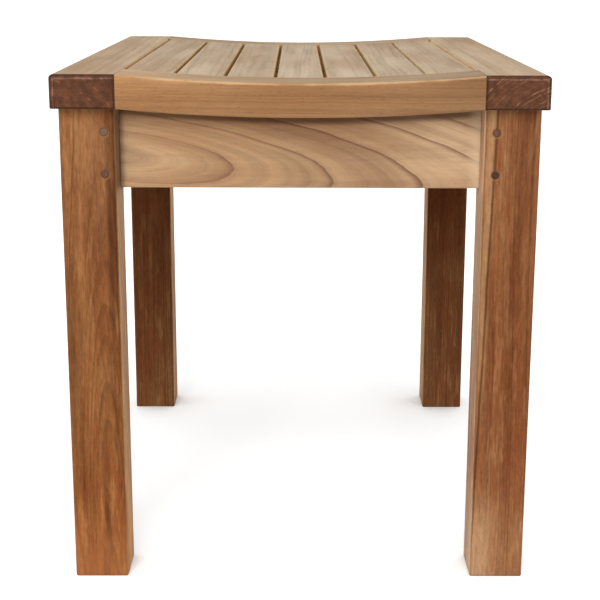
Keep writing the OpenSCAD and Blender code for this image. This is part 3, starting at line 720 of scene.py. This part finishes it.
def makePegWood(setup):
    # Rings are shells about a point beside the peg, with open pores, fibres along the peg and dark glue at its
    # rim. The tone goes from dark through mid to pale.
    r = Recipe("pegTeak")
    place = r.put("ShaderNodeAttribute", attribute_name="place").outputs["Vector"]
    tone = r.put("ShaderNodeAttribute", attribute_name="tone").outputs["Fac"]
    out = r.vec("LENGTH", r.vec("MULTIPLY", place, (1, 1, 0)))
    bend = r.noise(r.vec("MULTIPLY", place, (260, 260, 900)), 2.0, output=1)
    bent = r.vec("ADD", place, r.vec("MULTIPLY", bend, (0.0012, 0.0012, 0)))
    rings = r.calc("FRACT", r.calc("MULTIPLY", r.vec("LENGTH", r.vec("ADD", bent, (0.007, 0.004, 0))), 1100))
    line = r.calc("MULTIPLY", r.ease(rings, 0.3, 0.9), r.ease(rings, 0.92, 1.0, 1.0, 0.0))
    pore = r.ease(r.cells(r.vec("MULTIPLY", place, (2400, 2400, 160))), 0.1, 0.35, 1.0, 0.0)
    fibre = r.noise(r.vec("MULTIPLY", place, (2400, 2400, 70)), 3.0, 0.6)
    dark, mid, pale = (linear(setup[key]) for key in ("dark", "mid", "pale"))
    colour = r.mix(r.ease(tone, 0.0, 0.5), dark, mid)
    colour = r.mix(r.ease(tone, 0.5, 1.0), colour, pale)
    colour = r.mix(r.calc("MULTIPLY", line, 0.35), colour, dark)
    colour = r.mix(r.calc("MULTIPLY", pore, 0.5), colour, dark)
    colour = r.vec("MULTIPLY", colour, r.calc("MULTIPLY_ADD", fibre, 0.5, 0.75))
    rim = r.ease(out, setup["radius"] * 0.8, setup["radius"] * 0.97)
    colour = r.mix(r.calc("MULTIPLY", rim, 0.45), colour, linear(setup["glue"]))
    height = r.calc("SUBTRACT", r.calc("MULTIPLY", fibre, 0.5), r.calc("ADD", pore, line))
    rough = r.calc("MULTIPLY_ADD", fibre, 0.2, 0.45)
    return r.finish(colour, rough, height, 0.00006, Specular_IOR_Level=0.15)


def makePegs(setup):
    # A split peg, shaved round: a low dome with a rounded rim, shallow hollows down its length, and a bevelled
    # inner end.
    radius, proud, rim = setup["radius"], setup["proud"], setup["round"]
    across = np.linspace(0, 1, 9)[:-1]
    face = np.stack([across * (radius - rim), -proud + setup["dome"] * across ** 2], -1)
    curve = np.linspace(0, np.pi / 2, 7)
    top = -proud + setup["dome"]
    edge = np.stack([radius - rim + rim * np.sin(curve), top + rim * (1 - np.cos(curve))], -1)
    deep = np.linspace(top + rim, setup["length"] - 0.003, 12)[1:]
    side = np.stack([np.full(11, radius), deep], -1)
    inner = np.array([(radius * 0.82, setup["length"]), (0.0, setup["length"])])
    profile = np.vstack([face, edge, side, inner])

    def shave(out, angle, height):
        # radius less a small wave with seven crests, which drifts round along the peg
        wave = 0.5 + 0.5 * np.cos(7 * angle + 90 * height)
        return out * (1 - 0.014 * wave), angle, height

    body = spin(profile, setup["sides"], shave)
    wood = makePegWood(setup)
    for name, tones in setup["tones"].items():
        shapes = []
        for number, tone in enumerate(tones):
            sideWay = -1 if number < 2 else 1
            drop = number % 2
            if name in ("front", "rear"):
                end = -1 if name == "front" else 1
                seat = (sideWay * joinery["pegX"], end * joinery["legFaceY"], joinery["endPegs"][drop])
                way = (0, -end, 0)
            else:
                end = -1 if name == "left" else 1
                seat = (end * joinery["legFaceX"], sideWay * joinery["pegY"], joinery["sidePegs"][drop])
                way = (-end, 0, 0)
            shapes.append((body, aimed(way, 0.8 * number + 2.1 * tone), np.array(seat), tone))
        makePiece("pegs" + name.capitalize(), shapes, wood, {"name": "pegs_" + name, "slot": "teak_peg"})


makePegs(pegs)
print("pegs driven")

screws = {
    "head": 0.004, "thick": 0.0025, "crown": 0.0015, "shank": 0.002, "core": 0.0014, "pitch": 0.0017,
    "sides": 40, "recess": 0.0013, "arm": 0.0023, "slot": 0.00042,
    "blockLength": 0.019, "blockAt": (0.1295, 0.214, 0.407), "blockSideAt": (0.1505, 0.193, 0.407),
    "pocketLength": 0.036, "pocketAt": (0.164324, 0.110, 0.408681), "pocketTilt": 15,
    "slatLength": 0.027821, "slatRadius": 1.753392, "slatStep": 0.0255397,
    "grey": (168, 170, 174), "bright": (205, 206, 208), "dull": (118, 112, 104),
}


def makeSteel(setup):
    # turned marks that follow the radius and the length, with small dull patches of noise
    r = Recipe("stainless")
    place = r.put("ShaderNodeAttribute", attribute_name="place").outputs["Vector"]
    out = r.vec("LENGTH", r.vec("MULTIPLY", place, (1, 1, 0)))
    marks = r.noise(r.vec("MULTIPLY", place, (2600, 2600, 2600)), 3.0)
    turned = r.noise(r.combine(r.product(out, 9000), 0.0, r.product(r.split(place)[2], 2000)), 2.0)
    dull = r.calc("MULTIPLY", r.ease(marks, 0.45, 0.7), 0.35)
    colour = r.mix(turned, linear(setup["grey"]), linear(setup["bright"]))
    colour = r.mix(dull, colour, linear(setup["dull"]))
    rough = r.calc("MULTIPLY_ADD", marks, 0.2, 0.22)
    height = r.calc("ADD", r.calc("MULTIPLY", turned, 0.6), r.calc("MULTIPLY", marks, 0.4))
    return r.finish(colour, rough, height, 0.00002, Metallic=1.0)


def screwShape(setup, length):
    # Pan head below the seat at height 0, shank above it. The crest of the thread is a ramp in height and
    # angle. The recess is a cross whose walls slope down to its middle.
    head, thick, crown = setup["head"], setup["thick"], setup["crown"]
    flat = np.linspace(0, head - crown, 26)
    curve = np.linspace(0, np.pi / 2, 8)[1:]
    top = np.stack([flat, np.full(26, -thick)], -1)
    edge = np.stack([head - crown + crown * np.sin(curve), -thick + crown * (1 - np.cos(curve))], -1)
    seat = np.array([(head, -0.0001), (head - 0.0001, 0.0), (setup["shank"] * 0.95, 0.0)])
    steps = int(length / setup["pitch"] * 8)
    rise = np.linspace(0.0004, length, steps)[:-1]
    shank = np.stack([np.full(steps - 1, setup["core"]), rise], -1)
    profile = np.vstack([top, edge, seat, shank, [(0.0, length)]])
    tip = length - 0.005

    def cut(out, angle, height):
        # thread added to the core, narrowed to the tip, and the cross let into the head
        phase = np.mod(height / setup["pitch"] - angle / (2 * np.pi), 1.0)
        crest = np.clip(1 - np.abs(phase - 0.5) * 3.2, 0, 1)
        taper = np.clip((length - height) / (length - tip), 0.0, 1.0)
        run = np.clip((height - 0.001) / 0.001, 0, 1)
        threaded = (out + (setup["shank"] - setup["core"]) * crest * run) * taper
        radius = np.where(height > 0.0002, threaded, out)
        x, y = np.abs(out * np.cos(angle)), np.abs(out * np.sin(angle))
        near = np.minimum(x, y)
        wall = np.clip((setup["slot"] - near) / 0.00018 + 0.5, 0, 1)
        floor = np.clip(1.25 * (1 - out / setup["arm"]), 0, 1)
        sunk = np.where(height < -0.0024, setup["recess"] * wall * floor, 0.0)
        return radius, angle, height + sunk

    return spin(profile, setup["sides"] * 2, cut)


def makeScrews(setup):
    steel = makeSteel(setup)
    lengths = ("blockLength", "slatLength", "pocketLength")
    short, middle, long = (screwShape(setup, setup[key]) for key in lengths)
    block, pocket, slat = [], [], []
    for side, end in ((-1, -1), (1, -1), (-1, 1), (1, 1)):
        x, y, z = setup["blockAt"]
        block.append((short, aimed((0, end, 0), 0.4 + side), np.array((side * x, end * y, z)), 0.3))
        x, y, z = setup["blockSideAt"]
        block.append((short, aimed((side, 0, 0), 1.1 + end), np.array((side * x, end * y, z)), 0.6))
        x, y, z = setup["pocketAt"]
        tilt = math.radians(setup["pocketTilt"])
        pocket.append((long, aimed((side * math.sin(tilt), 0, math.cos(tilt)), 0.7 * end + side),
                       np.array((side * x, end * y, z)), 0.5))
    for number in range(7):
        turn = (number - 3) * setup["slatStep"]
        x, drop = setup["slatRadius"] * math.sin(turn), setup["slatRadius"] * math.cos(turn)
        seat = np.array((x, 0, dish["axisHeight"] - drop))
        slat.append((middle, aimed((-math.sin(turn), 0, math.cos(turn)), 0.9 * number), seat, 0.1 * number))
    makePiece("blockScrews", block, steel, {"name": "block_screws", "slot": "stainless"})
    makePiece("pocketScrews", pocket, steel, {"name": "pocket_screws", "slot": "stainless"})
    makePiece("slatScrews", slat, steel, {"name": "slat_screws", "slot": "stainless"})


makeScrews(screws)
print("screws set")

studio = {
    "horizon": 0.12, "zenith": 2.4, "aim": (0, 0, 0.25),
    "floor": 0.76, "wide": 80.0,
    "lights": [
        {"name": "keyLight", "place": (-0.25, -2.7, 2.0), "size": 1.7, "power": 96},
    ],
}


def makeStudio(setup):
    # a wide pale floor, a surround that grows brighter overhead, and a soft square lamp
    world = bpy.data.worlds.new("surround")
    world.use_nodes = True
    tree = world.node_tree
    place = tree.nodes.new("ShaderNodeTexCoord")
    split = tree.nodes.new("ShaderNodeSeparateXYZ")
    rise = tree.nodes.new("ShaderNodeMapRange")
    tree.links.new(place.outputs["Generated"], split.inputs[0])
    tree.links.new(split.outputs[2], rise.inputs[0])
    for socket, value in zip(rise.inputs[1:5], (0.0, 1.0, setup["horizon"], setup["zenith"])):
        socket.default_value = value
    tree.links.new(rise.outputs[0], tree.nodes["Background"].inputs[1])
    tree.nodes["Background"].inputs[0].default_value = (1, 1, 1, 1)
    scene.world = world
    wide = setup["wide"]
    corners = [(-wide, -wide, 0), (wide, -wide, 0), (wide, wide, 0), (-wide, wide, 0)]
    mesh = bpy.data.meshes.new("floor")
    mesh.from_pydata(corners, [], [(0, 1, 2, 3)])
    floor = bpy.data.objects.new("floor", mesh)
    scene.collection.objects.link(floor)
    r = Recipe("paleFloor")
    place = r.put("ShaderNodeTexCoord").outputs["Object"]
    cloud = r.noise(r.vec("MULTIPLY", place, (3, 3, 3)), 2.0)
    colour = r.vec("MULTIPLY", r.calc("MULTIPLY_ADD", cloud, 0.01, 0.99), (setup["floor"],) * 3)
    mesh.materials.append(r.finish(colour, 0.85, cloud, 0.0001))
    for lamp in setup["lights"]:
        data = bpy.data.lights.new(lamp["name"], "AREA")
        data.size, data.energy = lamp["size"], lamp["power"]
        light = bpy.data.objects.new(lamp["name"], data)
        light.location = lamp["place"]
        aim = Vector(setup["aim"]) - Vector(lamp["place"])
        light.rotation_euler = aim.to_track_quat("-Z", "Y").to_euler()
        scene.collection.objects.link(light)
    scene.view_settings.view_transform = "Standard"


makeStudio(studio)
print("studio lit")
